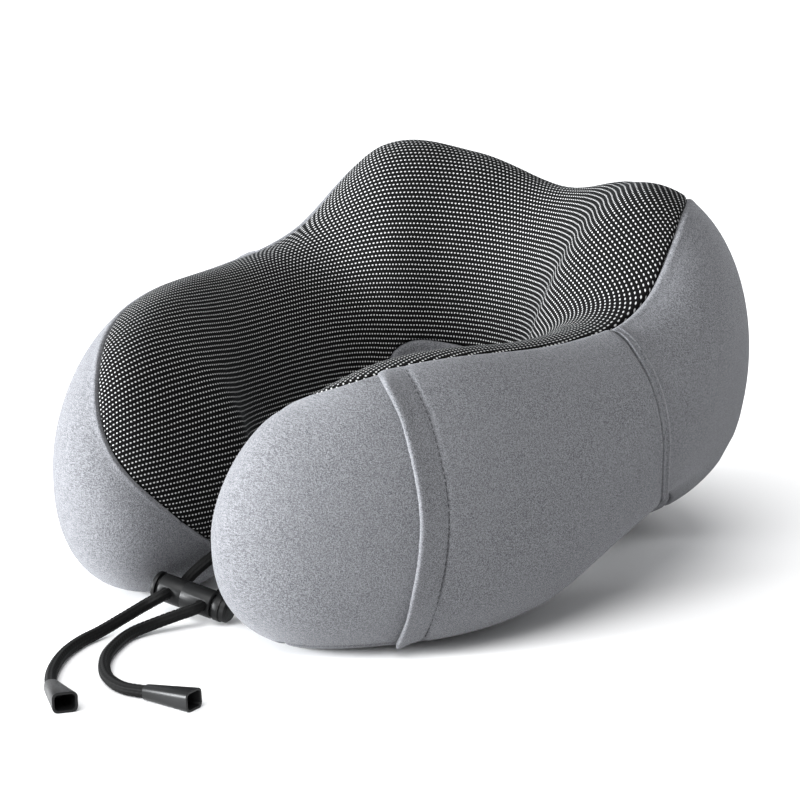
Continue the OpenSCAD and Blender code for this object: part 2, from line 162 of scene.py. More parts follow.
def ring_outward(angle):
    step = math.radians(0.01)
    d = ring_point(angle + step) - ring_point(angle - step)
    return np.stack([-d[..., 1], d[..., 0]], axis=-1) / np.linalg.norm(d, axis=-1, keepdims=True)


def skin_point(s, angle, depth):
    """Point at a depth below the pillow's skin, at place s along the ring and an angle in degrees."""
    place = np.abs(s)
    across, upward = np.cos(np.radians(angle)), np.sin(np.radians(angle))
    around = np.radians(s * RING_SWEEP * (1 - depth / HALF_RING_L))
    height = curve_value(HEIGHT, place) - np.where(s > 0, curve_value(RIGHT_SAG, place), 0)
    top = height - depth
    bottom = curve_value(LIFT, place) - FOAM_PRESS + depth
    widest = curve_value(WIDEST_HEIGHT, place)
    half = np.where(across >= 0, curve_value(OUTER_WIDTH, place), curve_value(INNER_WIDTH, place))
    power = 2 / np.where(upward >= 0, UPPER_POWER, LOWER_POWER)
    q = np.maximum(0, place - 1 + TIP_LENGTH) / TIP_LENGTH
    shrink = np.sqrt(np.maximum(0, 1 - q ** TIP_POWER))
    reach = np.where(upward >= 0, top - widest, widest - bottom)
    nose = mix(bottom, top, TIP_CENTRE)
    z = mix(nose, widest + reach * signed_power(upward, power), shrink)
    fallen = np.clip((angle - DROP_FROM) / (180 - DROP_FROM), 0, 1)
    z = z - curve_value(INNER_DROP, place) * np.sin(np.pi * fallen) ** 2 * shrink
    lean = curve_value(LEAN, place) * (z / height - 0.5)
    n = (half - depth) * signed_power(across, power) * shrink + lean
    p = ring_point(around) + ring_outward(around) * n[..., None]
    return np.concatenate([p, np.maximum(z, depth)[..., None]], axis=-1)


def row_angle(s, r):
    """Angle round the section of a row, at place s along the ring."""
    place = np.abs(s)
    outer = np.where(s > 0, curve_value(KNIT_OUTER_RIGHT, place), curve_value(KNIT_OUTER_LEFT, place))
    inner = curve_value(KNIT_INNER, place)
    side = mix(BASE_SEAM_ANGLE, outer, r)
    top = mix(outer, inner, r - 1)
    base = mix(inner, 360 + BASE_SEAM_ANGLE, r - 2)
    return np.where(r <= 1, side, np.where(r <= 2, top, base))


def rows_from_zip(r):
    return SIDE_ROWS * r - ZIP_AT


def zip_band_point(s, r, depth):
    """The band round the zip is a plain cylinder, so that the slider's path is a true arc."""
    angle = np.radians(s / ZIP_SEAM * ZIP_SPAN)
    radius = ZIP_RADIUS - depth
    return np.stack([
        radius * np.sin(angle),
        ZIP_CENTRE_Y + radius * np.cos(angle),
        ZIP_HEIGHT + rows_from_zip(r) * ZIP_ROW,
    ], axis=-1)


def zip_band_share(s, r):
    """1 on the band round the zip, falling to 0 over a short way beyond it."""
    along = 1 - smooth_step((np.abs(s) - ZIP_SEAM) / 0.05)
    across = 1 - smooth_step(np.abs(rows_from_zip(r)) - 1)
    return along * across


def swell(s, r):
    """How far the stuffed cover stands off the plain shape here, by cubic interpolation."""
    def weights(x, count):
        i = np.clip(np.floor(x).astype(int), 0, count - 2)
        f = x - i
        near = np.stack([
            -0.5 * f + f ** 2 - 0.5 * f ** 3, 1 - 2.5 * f ** 2 + 1.5 * f ** 3,
            0.5 * f + 2 * f ** 2 - 1.5 * f ** 3, -0.5 * f ** 2 + 0.5 * f ** 3,
        ])
        return [np.clip(i + k, 0, count - 1) for k in (-1, 0, 1, 2)], near

    columns, column_share = weights((s + 1) / 2 * (SWELL_COLUMNS - 1), SWELL_COLUMNS)
    rows, row_share = weights(r / 3 * (SWELL_ROWS - 1), SWELL_ROWS)
    total = np.zeros(np.shape(s) + (3,))
    for a in range(4):
        for b in range(4):
            total += swell_field[columns[a], rows[b]] * (column_share[a] * row_share[b])[..., None]
    return total


def cover_point(s, r, depth=0.0):
    """Point of the cover: place s along the ring, row r, which may be below 0, and depth inward."""
    s, r, depth = np.broadcast_arrays(np.asarray(s, float), np.asarray(r, float), np.asarray(depth, float))
    r = np.where(r < 0, r + 3, r)
    plain = skin_point(s, row_angle(s, r), depth)
    banded = mix(plain, zip_band_point(s, r, depth), zip_band_share(s, r)[..., None])
    p = banded + swell(s, r)
    p[..., 2] = np.maximum(p[..., 2], REST_HEIGHT + np.maximum(depth, 0) * REST_SQUEEZE)
    return p


# ------------------------------------------------------------------ mesh helpers

MERGE_WITHIN = 0.002
# Distances from a seam at which a panel has points, so that the fabric's roll comes out round
SEAM_STEPS = [0.25, 0.55, 0.9, 1.3, 1.8, 2.4, 3.1, 4.0, 5.2]


def add_object(name, data):
    obj = bpy.data.objects.new(name, data)
    bpy.context.scene.collection.objects.link(obj)
    return obj


def shade_smooth(mesh):
    mesh.polygons.foreach_set("use_smooth", [True] * len(mesh.polygons))


def new_object(name, vertices, faces):
    mesh = bpy.data.meshes.new(name)
    mesh.from_pydata((np.asarray(vertices) * MM).tolist(), [], [list(f) for f in faces])
    mesh.update()
    shade_smooth(mesh)
    return add_object(name, mesh)


def tidy_mesh(obj):
    """Merges points that coincide, drops loose ones and turns every face outward."""
    bm = bmesh.new()
    bm.from_mesh(obj.data)
    bmesh.ops.remove_doubles(bm, verts=bm.verts, dist=MERGE_WITHIN * MM)
    bmesh.ops.delete(bm, geom=[v for v in bm.verts if not v.link_faces], context="VERTS")
    bmesh.ops.recalc_face_normals(bm, faces=bm.faces)
    bm.to_mesh(obj.data)
    bm.free()
    return obj


def ring_faces(index, clockwise=False):
    """Faces between neighbouring closed rings, whose point numbers are the rows of index."""
    after = np.roll(index, -1, axis=1)
    corners = [index[:-1], index[1:], after[1:], after[:-1]]
    if clockwise:
        corners = corners[:1] + corners[:0:-1]
    return np.stack(corners, axis=-1).reshape(-1, 4).tolist()


def finish_piece(obj, body, slot, material, *replaced):
    """Sets a piece's body and material, and hides the CAD nodes that it stands for; the slot is not used."""
    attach(obj, body)
    obj.data.materials.clear()
    obj.data.materials.append(material)
    if replaced:
        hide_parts(*replaced)
    return obj


def unit(v, least=0):
    return v / np.maximum(np.linalg.norm(v, axis=-1, keepdims=True), least)


def grid(places, rows):
    return np.meshgrid(places, rows, indexing="ij")


def midway(values, axis):
    """Mean of each two neighbours along an axis."""
    values = np.swapaxes(values, 0, axis)
    return np.swapaxes((values[1:] + values[:-1]) / 2, 0, axis)


def run_length(points):
    """Length along a line of points, from its first point to each of them."""
    steps = np.linalg.norm(np.diff(points, axis=0), axis=-1)
    return np.concatenate([np.zeros((1,) + steps.shape[1:]), np.cumsum(steps, axis=0)])


def at_lengths(places, run, values):
    """Values along a line, such as its points, at the given lengths from its start."""
    return np.stack([np.interp(places, run, values[:, k]) for k in range(3)], axis=-1)


def mirrored(half):
    """Places on both sides of the middle of the back, from those on one side."""
    return np.concatenate([-half[:0:-1], half])


def even_values(line, start, end, step, fine_start=True, fine_end=True):
    """Values between start and end whose points on a line are a step apart, and closer at its ends."""
    # Closer together towards the end, because the cover turns sharply round its tip
    dense = start + (end - start) * (1 - (1 - np.linspace(0, 1, 1500)) ** 1.5)
    run = run_length(line(dense))
    places = list(np.linspace(0, run[-1], max(3, int(run[-1] / step) + 1)))
    clear = SEAM_STEPS[-1] + step / 2
    if fine_start:
        places = [p for p in places if p == 0 or p > clear] + SEAM_STEPS
    if fine_end:
        places = [p for p in places if p == run[-1] or p < run[-1] - clear]
        places += [run[-1] - c for c in SEAM_STEPS]
    return np.interp(np.sort(places), run, dense)


def shell(name, s, r, depth, thickness, keep=None, weave=None):
    """Closed fabric panel over a grid of places and rows, from its face inward by its thickness."""
    outer = cover_point(s, r, depth)
    inner = cover_point(s, r, depth + thickness)
    columns, rows = s.shape
    index = np.arange(columns * rows).reshape(columns, rows)
    if keep is None:
        keep = np.ones((columns - 1, rows - 1), bool)
    corners = np.stack([index[:-1, :-1], index[1:, :-1], index[1:, 1:], index[:-1, 1:]], axis=-1)
    front = corners[keep]
    back = front[:, ::-1] + columns * rows
    padded = np.pad(keep, 1)
    faces = [front, back]
    neighbours = [
        (padded[1:-1, :-2], 0, 1), (padded[2:, 1:-1], 1, 2),
        (padded[1:-1, 2:], 2, 3), (padded[:-2, 1:-1], 3, 0),
    ]
    for beside, a, b in neighbours:
        edge = corners[keep & ~beside]
        below = edge + columns * rows
        faces.append(np.stack([edge[:, b], edge[:, a], below[:, a], below[:, b]], axis=-1))
    faces = np.concatenate(faces)
    vertices = np.concatenate([outer.reshape(-1, 3), inner.reshape(-1, 3)])
    obj = new_object(name, vertices, faces.tolist())
    if weave is not None:
        flat = np.concatenate([weave.reshape(-1, 2)] * 2)
        layer = obj.data.uv_layers.new(name="weave")
        layer.data.foreach_set("uv", flat[faces.reshape(-1)].reshape(-1).astype(np.float32))
    return tidy_mesh(obj)


def grid_distances(s, r):
    """For each point of a grid, how far it lies along the ring and across it from the grid's edges."""
    points = cover_point(s, r)
    return run_length(points), np.swapaxes(run_length(np.swapaxes(points, 0, 1)), 0, 1)


def surface_directions(points, s):
    """Outward normal and direction of the fabric's rows at each point of a grid on the cover.

    The rows run round the ring at the back, level where the cover faces inward, and turn straight
    to the front along the arms.
    """
    across = np.gradient(points, axis=1)
    along = np.gradient(points, axis=0)
    normal = unit(np.cross(along, across), 1e-9)
    angle = np.radians(s * RING_SWEEP)
    outward = np.concatenate([ring_outward(angle), np.zeros(s.shape + (1,))], axis=-1)
    upward = np.zeros_like(normal)
    upward[..., 2] = 1
    straight = np.zeros_like(normal)
    straight[..., 1] = -np.sign(s)
    arm = smooth_step((np.abs(s) - 0.45) / 0.3)[..., None]
    forward = mix(np.cross(outward, upward), straight, arm)
    if np.sum(normal[s.shape[0] // 2, s.shape[1] // 2] * upward[0, 0]) < 0:
        normal = -normal
    facing_out = np.sum(normal * outward, axis=-1, keepdims=True)
    level = np.cross(upward, normal) * (1 - smooth_step(facing_out / 0.6)) * (1 - arm)
    row = forward - normal * np.sum(normal * forward, axis=-1, keepdims=True) + level
    row = row - normal * np.sum(normal * row, axis=-1, keepdims=True)
    return normal, unit(row, 1e-6)


def relaxed_field(points, gradient):
    """Value at each grid point whose rise along the surface comes closest to the gradient wanted."""
    steps = [np.diff(points, axis=0), np.diff(points, axis=1)]
    wanted = [np.sum(steps[k] * midway(gradient, k), axis=-1) for k in (0, 1)]
    least = 0.02
    most = 50
    tries = 1500
    lengths = [np.maximum(np.linalg.norm(a, axis=-1), least) for a in steps]
    wide = [
        midway(np.pad(lengths[1], ((0, 0), (1, 1)), "edge"), 1),
        midway(np.pad(lengths[0], ((1, 1), (0, 0)), "edge"), 0),
    ]
    weight = [np.clip(midway(wide[k], k) / lengths[k], least, most) for k in (0, 1)]

    def gather(a, b, sign=-1):
        """Adds the value of each step to the point after it and, times sign, to the one before."""
        total = np.zeros(points.shape[:2])
        total[1:] += a
        total[:-1] += sign * a
        total[:, 1:] += b
        total[:, :-1] += sign * b
        return total

    def spread_out(value):
        return gather(weight[0] * np.diff(value, axis=0), weight[1] * np.diff(value, axis=1))

    diagonal = gather(weight[0], weight[1], 1)
    value = np.zeros(points.shape[:2])
    residual = gather(weight[0] * wanted[0], weight[1] * wanted[1])
    eased = residual / diagonal
    direction = eased.copy()
    power = np.sum(residual * eased)
    for _ in range(tries):
        pushed = spread_out(direction)
        size = power / np.sum(direction * pushed)
        value += size * direction
        residual -= size * pushed
        eased = residual / diagonal
        fresh = np.sum(residual * eased)
        if fresh < 1e-9 * abs(power) + 1e-12:
            break
        direction = eased + direction * fresh / power
        power = fresh
    return value


def folded_edge(distance, sink=1.9, width=2.3, lip=0.0):
    """Depth of a fabric's face near a seam: it rolls down into the seam, with a low lip beside it."""
    lip_place = width * 1.1
    lip_width = 1.6
    x = np.clip(distance / width, 0, 1)
    roll = sink * (1 - np.sqrt(np.maximum(0, 1 - (1 - x) ** 2)))
    return roll - lip * np.exp(-((distance - lip_place) / lip_width) ** 2)


def frames_along(points):
    """Side and up directions along a line, turned as little as possible on the way."""
    forward = unit(np.gradient(points, axis=0))
    up = np.zeros_like(points)
    guess = np.array([0.0, 0.0, 1.0]) if abs(forward[0][2]) < 0.9 else np.array([1.0, 0.0, 0.0])
    for i, f in enumerate(forward):
        guess = guess - f * np.dot(guess, f)
        guess = guess / np.linalg.norm(guess)
        up[i] = guess
    return np.cross(forward, up), up


def directions_round(side, up, sides):
    """Directions evenly round a line, at each of its points."""
    turn = np.linspace(0, 2 * math.pi, sides, endpoint=False)[None, :, None]
    return side[:, None] * np.cos(turn) + up[:, None] * np.sin(turn)


def tube(name, points, radius, sides):
    """Closed tube along points, with a radius for each point and, if it varies, for each side."""
    side, up = frames_along(points)
    radius = np.broadcast_to(radius, (len(points), sides))
    vertices = (points[:, None] + directions_round(side, up, sides) * radius[..., None]).reshape(-1, 3)
    index = np.arange(len(points) * sides).reshape(len(points), sides)
    faces = ring_faces(index, clockwise=True)
    faces += [index[0][::-1].tolist(), index[-1].tolist()]
    return new_object(name, vertices, faces)


def smooth_route(points, step):
    """Smooth line through the points of a route, with a point every step."""
    between = 24
    points = np.asarray(points, float)
    padded = np.concatenate([[2 * points[0] - points[1]], points, [2 * points[-1] - points[-2]]])
    knots = np.concatenate([[0], np.cumsum(np.sqrt(np.linalg.norm(np.diff(padded, axis=0), axis=1)))])
    line = []
    for i in range(1, len(padded) - 2):
        t0, t1, t2, t3 = knots[i - 1:i + 3]
        p0, p1, p2, p3 = padded[i - 1:i + 3]
        t = np.linspace(t1, t2, between, endpoint=False)[:, None]
        a1 = mix(p0, p1, (t - t0) / (t1 - t0))
        a2 = mix(p1, p2, (t - t1) / (t2 - t1))
        a3 = mix(p2, p3, (t - t2) / (t3 - t2))
        b1 = mix(a1, a2, (t - t0) / (t2 - t0))
        b2 = mix(a2, a3, (t - t1) / (t3 - t1))
        line.append(mix(b1, b2, (t - t1) / (t2 - t1)))
    line = np.concatenate(line + [points[-1:]])
    run = run_length(line)
    even = np.linspace(0, run[-1], int(run[-1] / step) + 1)
    return at_lengths(even, run, line)


# ------------------------------------------------------------------ materials

class Nodes:
    """Short way to write a material's node tree."""

    def __init__(self, name):
        self.material = bpy.data.materials.new(name)
        self.material.use_nodes = True
        self.tree = self.material.node_tree
        self.shader = self.tree.nodes["Principled BSDF"]

    def add(self, kind, **settings):
        node = self.tree.nodes.new(kind)
        for key, value in settings.items():
            setattr(node, key, value)
        return node

    def put(self, value, socket):
        if isinstance(value, bpy.types.NodeSocket):
            self.tree.links.new(value, socket)
        else:
            socket.default_value = value

    def math(self, operation, a, b=0.0, c=0.0):
        node = self.add("ShaderNodeMath", operation=operation)
        for value, socket in zip((a, b, c), node.inputs):
            self.put(value, socket)
        return node.outputs[0]

    def place(self, scale=(1, 1, 1), turn=(0, 0, 0)):
        """The piece's own coordinates in millimetres, stretched and turned."""
        coordinates = self.add("ShaderNodeTexCoord").outputs["Object"]
        mapping = self.add("ShaderNodeMapping")
        self.put(coordinates, mapping.inputs["Vector"])
        mapping.inputs["Scale"].default_value = [1000 * k for k in scale]
        mapping.inputs["Rotation"].default_value = [math.radians(k) for k in turn]
        return mapping.outputs[0]

    def noise(self, vector, size, detail, roughness=0.5):
        """Noise whose patches are about size millimetres across."""
        node = self.add("ShaderNodeTexNoise")
        self.put(vector, node.inputs["Vector"])
        node.inputs["Scale"].default_value = 1 / size
        node.inputs["Detail"].default_value = detail
        node.inputs["Roughness"].default_value = roughness
        return node.outputs["Fac"]

    def spread(self, value, low, high, to_low=0.0, to_high=1.0):
        """Carries value from the range low to high over to another range, with eased ends."""
        node = self.add("ShaderNodeMapRange", interpolation_type="SMOOTHSTEP")
        for v, socket in zip((value, low, high, to_low, to_high), node.inputs):
            self.put(v, socket)
        return node.outputs[0]

    def blend(self, share, a, b):
        node = self.add("ShaderNodeMix", data_type="RGBA")
        self.put(share, node.inputs[0])
        self.put(a, node.inputs[6])
        self.put(b, node.inputs[7])
        return node.outputs[2]

    def bump(self, height, strength, distance):
        node = self.add("ShaderNodeBump")
        self.put(height, node.inputs["Height"])
        node.inputs["Strength"].default_value = strength
        node.inputs["Distance"].default_value = distance * MM
        return node.outputs[0]

    def finish(self, colour, roughness, normal=None, **constants):
        self.put(colour, self.shader.inputs["Base Color"])
        self.put(roughness, self.shader.inputs["Roughness"])
        if normal is not None:
            self.put(normal, self.shader.inputs["Normal"])
        for key, value in constants.items():
            self.shader.inputs[key.replace("_", " ")].default_value = value
        return self.material


def grey(value, warmth=0.0):
    return (value * (1 + warmth), value, value * (1 - warmth), 1)


def velour_material(name, level=0.122):
    """Short brushed pile: grainy, slightly streaked along the knit behind it, pale where it is grazed."""
    m = Nodes(name)
    here = m.place()
    grain = m.noise(here, 0.4, 2, 0.6)
    clump = m.noise(here, 1.0, 2)
    cloud = m.noise(here, 22, 2)
    streak = m.noise(m.place((0.2, 1.0, 1.0), (0, 20, 35)), 0.5, 2)
    tone = m.math("MULTIPLY_ADD", grain, 0.6, m.math("MULTIPLY", streak, 0.3))
    tone = m.math("MULTIPLY_ADD", clump, 0.1, tone)
    dark = (level * 0.42, level * 0.43, level * 0.47, 1)
    pale = (level * 1.6, level * 1.62, level * 1.72, 1)
    pile = m.blend(m.spread(tone, 0.36, 0.64), dark, pale)
    patch = m.spread(cloud, 0.3, 0.7, 0.0, 0.2)
    colour = m.blend(patch, pile, (level * 1.2, level * 1.22, level * 1.3, 1))
    normal = m.bump(m.math("ADD", grain, m.math("MULTIPLY", clump, 0.5)), 0.8, 0.5)
    return m.finish(
        colour, 0.95, normal,
        Sheen_Weight=0.22, Sheen_Roughness=0.4, Sheen_Tint=(0.94, 0.96, 1, 1), Specular_IOR_Level=0.1,
    )


def knit_material(name):
    """Black jersey with rows of white dots, each dot a raised loop of yarn."""
    row_pitch = 2.1
    dot_pitch = 1.65
    across_end = 3.9         # how soon a dot ends across its row, and along it
    along_end = 2.5
    m = Nodes(name)
    weave = m.add("ShaderNodeUVMap", uv_map="weave").outputs[0]
    split = m.add("ShaderNodeSeparateXYZ")
    m.put(weave, split.inputs[0])
    wander = m.noise(m.place(), 7, 1)
    drift = m.math("MULTIPLY_ADD", wander, 0.16, -0.08)
    rows = m.math("ADD", m.math("DIVIDE", split.outputs[1], row_pitch), drift)
    slip = m.math("MULTIPLY", m.math("FLOOR", rows), 0.5)
    along = m.math("ADD", m.math("DIVIDE", split.outputs[0], dot_pitch), slip)
    across = m.math("SUBTRACT", m.math("FRACT", rows), 0.5)
    beside = m.math("SUBTRACT", m.math("FRACT", along), 0.5)
    reach = m.math(
        "SQRT", m.math("ADD", m.math("POWER", m.math("MULTIPLY", across, across_end), 2.0),
                       m.math("POWER", m.math("MULTIPLY", beside, along_end), 2.0)))
    dot = m.spread(reach, 0.35, 0.85, 1.0, 0.0)
    yarn = m.noise(m.place(), 0.35, 2)
    white = m.blend(yarn, grey(0.3), grey(0.6))
    black = m.blend(m.noise(m.place(), 0.6, 2), grey(0.001), grey(0.004))
    colour = m.blend(dot, black, white)
    height = m.math("MULTIPLY_ADD", yarn, 0.35, dot)
    return m.finish(
        colour, 0.85, m.bump(height, 0.6, 0.3),
        Sheen_Weight=0.02, Sheen_Roughness=0.4, Sheen_Tint=(0.85, 0.95, 1, 1), Specular_IOR_Level=0.06,
    )


def plastic_material(name, level, roughness):
    """Moulded plastic with a fine spark grain and a faint cloud in its tone."""
    m = Nodes(name)
    here = m.place()
    grain = m.noise(here, 0.5, 2)
    cloud = m.noise(here, 6, 2)
    colour = m.blend(cloud, grey(level * 0.85, -0.03), grey(level * 1.2, -0.03))
    rough = m.spread(grain, 0.2, 0.8, roughness - 0.06, roughness + 0.08)
    return m.finish(colour, rough, m.bump(grain, 0.08, 0.1), Specular_IOR_Level=0.2)


def metal_material(name, level, roughness):
    """Bare metal, brushed along its height."""
    m = Nodes(name)
    here = m.place()
    brushed = m.noise(m.place((1, 1, 0.12)), 0.25, 2)
    colour = m.blend(m.noise(here, 3, 2), grey(level * 0.85), grey(level * 1.1))
    rough = m.spread(brushed, 0.2, 0.8, roughness - 0.08, roughness + 0.1)
    return m.finish(colour, rough, m.bump(brushed, 0.1, 0.05), Metallic=1.0)


def cord_material(name):
    m = Nodes(name)
    fibre = m.noise(m.place(), 0.3, 3)
    colour = m.blend(fibre, grey(0.0015), grey(0.009))
    return m.finish(
        colour, 0.62, m.bump(fibre, 0.3, 0.12),
        Sheen_Weight=0.01, Sheen_Roughness=0.5, Specular_IOR_Level=0.1,
    )


def tape_material(name, level):
    """Flat woven tape: fine ribs across, with a little wear in its tone."""
    m = Nodes(name)
    here = m.place()
    rib = m.noise(m.place((0.3, 0.3, 1)), 0.5, 2)
    cloud = m.noise(here, 4, 2)
    colour = m.blend(cloud, grey(level * 0.8, -0.03), grey(level * 1.15, -0.03))
    return m.finish(colour, 0.85, m.bump(rib, 0.4, 0.2), Sheen_Weight=0.2)


def foam_material(name):
    m = Nodes(name)
    cells = m.add("ShaderNodeTexVoronoi", feature="SMOOTH_F1")
    m.put(m.place(), cells.inputs["Vector"])
    cells.inputs["Scale"].default_value = 1 / 1.2
    colour = m.blend(m.noise(m.place(), 9, 3), (0.62, 0.5, 0.31, 1), (0.78, 0.68, 0.48, 1))
    return m.finish(colour, 0.95, m.bump(cells.outputs["Distance"], 0.6, 0.4))


def liner_material(name):
    m = Nodes(name)
    colour = m.blend(m.noise(m.place(), 1.4, 3), grey(0.6), grey(0.82))
    return m.finish(colour, 0.9, m.bump(m.noise(m.place(), 0.4, 2), 0.5, 0.15))


velour = velour_material("velour_grey")
knit = knit_material("knit_dotted")
lock_plastic = plastic_material("lock_charcoal", 0.006, 0.4)
button_plastic = plastic_material("lock_black", 0.004, 0.4)
end_plastic = plastic_material("cord_end_charcoal", 0.007, 0.36)
cord_braid = cord_material("cord_black")
tape_fabric = tape_material("zip_tape_grey", 0.16)
coil_nylon = plastic_material("zip_coil_grey", 0.12, 0.4)
zip_metal = metal_material("zip_nickel", 0.55, 0.3)
spring_steel = metal_material("spring_steel", 0.6, 0.25)
foam = foam_material("foam_cream")
liner = liner_material("liner_white")
thread = velour_material("thread_grey", 0.045)
# Paler velour for the rolled edges: a painted highlight for the light that these ridges catch
highlight_painted_velour = velour_material("velour_edge_painted_highlight", 0.16)

# ------------------------------------------------------------------ camera and cords

AZIMUTH = 45
ELEVATION = 15.5
DISTANCE = 1.54
TARGET = Vector((0, 0.005, 0.065))
SENSOR = 36
LENS = 158.35
SHIFT = (-0.0075, 0.0219)

camera_data = bpy.data.cameras.new("camera")
camera_data.sensor_width = SENSOR
camera_data.lens = LENS
camera_data.shift_x, camera_data.shift_y = SHIFT
camera_data.clip_start = 0.05
camera = add_object("camera", camera_data)
turn, tilt = math.radians(AZIMUTH), math.radians(ELEVATION)
camera.location = TARGET + DISTANCE * Vector((
    math.sin(turn) * math.cos(tilt), -math.cos(turn) * math.cos(tilt), math.sin(tilt)))
camera.rotation_euler = (math.radians(90 - ELEVATION), 0, turn)
bpy.context.scene.camera = camera

CORD_D = 5
LOCK_POSITION = np.array([-8.6, -117.0, 10.0])
LOCK_YAW = math.radians(18)
LOCK_TILT = math.radians(10)
LEFT_HOLE = -6.6         # places of the cord holes along the barrel
RIGHT_HOLE = 10.4
HOLE_REACH = 8.5         # how far a cord runs straight on either side of the barrel's middle
END_DEPTH = 6            # how far a cord reaches into its end
LEFT_END = [24, -217, 3.1]
LEFT_END_HEADING = -26
RIGHT_END = [55.5, -194.5, 3.1]
RIGHT_END_HEADING = 12


def lock_point(x, y, z):
    """Point given in the lock's own directions: x along the barrel, y towards the back, z up."""
    a = x * math.cos(LOCK_TILT) + z * math.sin(LOCK_TILT)
    return LOCK_POSITION + np.array([
        a * math.cos(LOCK_YAW) - y * math.sin(LOCK_YAW),
        a * math.sin(LOCK_YAW) + y * math.cos(LOCK_YAW),
        z * math.cos(LOCK_TILT) - x * math.sin(LOCK_TILT),
    ])


def through_hole(x):
    return [lock_point(x, y, 0) for y in (HOLE_REACH, 0, -HOLE_REACH)]


def in_end(start, heading):
    turn = math.radians(heading)
    return np.array(start) + END_DEPTH * np.array([math.cos(turn), math.sin(turn), 0])


LEFT_ROUTE = [
    [-17.8, -79.8, 21.8], [-15, -81, 22.5], [-12.5, -86, 24], [-12.5, -92.5, 23.5],
    [-14, -99.5, 20], [-16.6, -106, 15],
    *through_hole(LEFT_HOLE),
    [-15, -134, 8], [-15, -147, 5], [-13.5, -160, 3], [-10.5, -173, 2.6],
    [-4, -187, 2.6], [5, -199.5, 2.6], [14.5, -209.5, 2.6],
    LEFT_END, in_end(LEFT_END, LEFT_END_HEADING),
]
RIGHT_ROUTE = [
    [17.8, -79.8, 21.8], [15, -81, 22.5], [11.5, -84.5, 23], [8.5, -90, 20.5],
    [4.5, -96.5, 16], [0.5, -102.5, 11],
    *through_hole(RIGHT_HOLE),
    [1, -130, 6.5], [-3, -141, 4], [-3, -153, 2.8], [2.5, -165, 2.6],
    [11, -177.5, 2.6], [22, -188, 2.6], [34, -195, 2.6], [45, -197, 2.6],
    RIGHT_END, in_end(RIGHT_END, RIGHT_END_HEADING),
]


def braided_cord(name, route):
    """Round braid with lengthwise ribs, over which the strands cross in a fine zigzag."""
    sides = 56
    rib_count = 8
    rib_height = 0.13
    strand_height = 0.1
    strand_pitch = 2.4
    line = smooth_route(route, 0.6)
    along = run_length(line)[:, None]
    turn = np.linspace(0, 2 * math.pi, sides, endpoint=False)[None, :]
    ribs = rib_height * np.cos(rib_count * turn)
    zigzag = np.abs(np.sin(rib_count / 2 * turn + 0.55)) * 1.6
    strands = strand_height * np.cos(2 * math.pi * (along / strand_pitch + zigzag))
    radius = CORD_D / 2 - 0.12 + ribs + strands
    return tube(name, line, radius, sides), line


cord_left, left_line = braided_cord("cord_left_braid", LEFT_ROUTE)
cord_right, right_line = braided_cord("cord_right_braid", RIGHT_ROUTE)


# ------------------------------------------------------------------ stuffed shape of the cover

def simulate_swell():
    """Blows the plain cover up against its sewn seams with cloth, and keeps how far it moved."""
    global swell_field
    start_depth = 1.1
    most = 3.2               # cap on how far a point may move
    frames = 20
    s = np.linspace(-1, 1, SWELL_COLUMNS)
    r = np.linspace(0, 3, SWELL_ROWS)
    grid_s, grid_r = grid(s, r[:-1])
    start = cover_point(grid_s, grid_r, start_depth)
    columns, rows = grid_s.shape
    index = np.arange(columns * rows).reshape(columns, rows)
    index[0, :], index[-1, :] = index[0, 0], index[-1, 0]
    faces = [list(dict.fromkeys(f)) for f in ring_faces(index)]
    form = new_object("cover_form", start.reshape(-1, 3), faces)
    place = np.abs(grid_s)
    sewn = np.isclose(grid_r, 1) | np.isclose(grid_r, 2) | (np.isclose(grid_r, 0) & (place < TIP_SEAM))
    sewn |= (np.abs(place - REAR_SEAM_PLACE) < 0.008) & (grid_r > 0) & (grid_r < 1)
    sewn |= (place < ZIP_SEAM + 0.02) & (grid_r > 0.1) & (grid_r < 0.5)
    sewn |= place > 0.99
    sewn |= start[..., 2] < start_depth + 0.3
    group = form.vertex_groups.new(name="sewn")
    group.add([int(i) for i in index[sewn]], 1.0, "REPLACE")
    bm = bmesh.new()
    bm.from_mesh(form.data)
    bmesh.ops.recalc_face_normals(bm, faces=bm.faces)
    bm.to_mesh(form.data)
    bm.free()
    cloth = form.modifiers.new("cloth", "CLOTH")
    cloth.settings.quality = 4
    cloth.settings.vertex_group_mass = "sewn"
    cloth.settings.use_pressure = True
    cloth.settings.uniform_pressure_force = 4
    cloth.settings.effector_weights.gravity = 0
    cloth.settings.tension_stiffness = 30
    cloth.settings.compression_stiffness = 30
    cloth.settings.bending_stiffness = 2
    cloth.point_cache.frame_start = 1
    cloth.point_cache.frame_end = frames
    scene = bpy.context.scene
    for number in range(1, frames + 1):
        scene.frame_set(number)
    seen = form.evaluated_get(bpy.context.evaluated_depsgraph_get()).data
    moved = np.zeros(len(seen.vertices) * 3)
    seen.vertices.foreach_get("co", moved)
    moved = moved.reshape(-1, 3)[index].reshape(columns, rows, 3) / MM - start
    far = np.linalg.norm(moved, axis=-1, keepdims=True)
    moved = moved * np.minimum(1, most / np.maximum(far, 1e-6))
    moved[sewn] = 0
    plain = cover_point(grid_s, grid_r, 0)
    field = start + moved - plain
    for _ in range(2):
        wrapped = np.concatenate([field[:, -1:], field, field[:, :1]], axis=1)
        field = (wrapped[:, :-2] + 2 * wrapped[:, 1:-1] + wrapped[:, 2:]) / 4
        field[1:-1] = (field[:-2] + 2 * field[1:-1] + field[2:]) / 4
    swell_field = np.concatenate([field, field[:, :1]], axis=1)
    scene.frame_set(1)
    bpy.data.objects.remove(form)


simulate_swell()

# ------------------------------------------------------------------ cover panels

